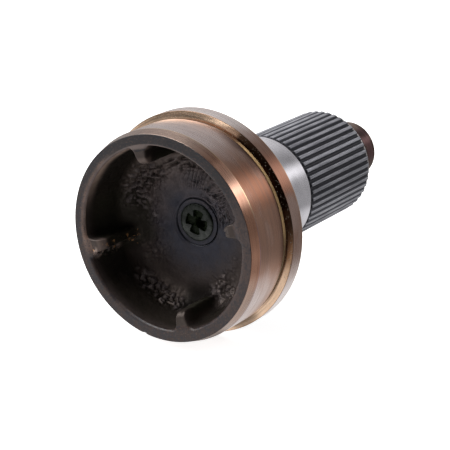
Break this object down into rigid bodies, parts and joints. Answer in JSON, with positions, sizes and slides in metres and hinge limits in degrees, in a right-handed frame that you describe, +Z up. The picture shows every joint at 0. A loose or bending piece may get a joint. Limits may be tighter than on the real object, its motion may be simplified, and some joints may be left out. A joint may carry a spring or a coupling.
{
  "type": "drive shaft stub shaft",
  "caption": "Stub shaft: a deep forged cup with a pilot and flange that is welded into a drive tube, a ground bearing journal, an involute spline and a plain end spigot.",
  "frame": {"origin": "on the shaft's axis, in the plane of the shoulder where the end of the drive tube sits", "axes": "+Y along the shaft's axis from the tube end towards the splined end, +Z up, +X across"},
  "size_m": [0.1167, 0.1919, 0.1166],
  "materials": {
    "forged_steel": "machined outside with a brown tint, dark forging scale inside the cup",
    "ground_steel": "ground journal, dark phosphated spline",
    "plug_plastic": "dull grey-green"
  },
  "bodies": {
    "root": {"tube_end_head": "forged_steel", "splined_stem": "ground_steel", "centre_hole_plug": "plug_plastic"}
  },
  "joints": []
}
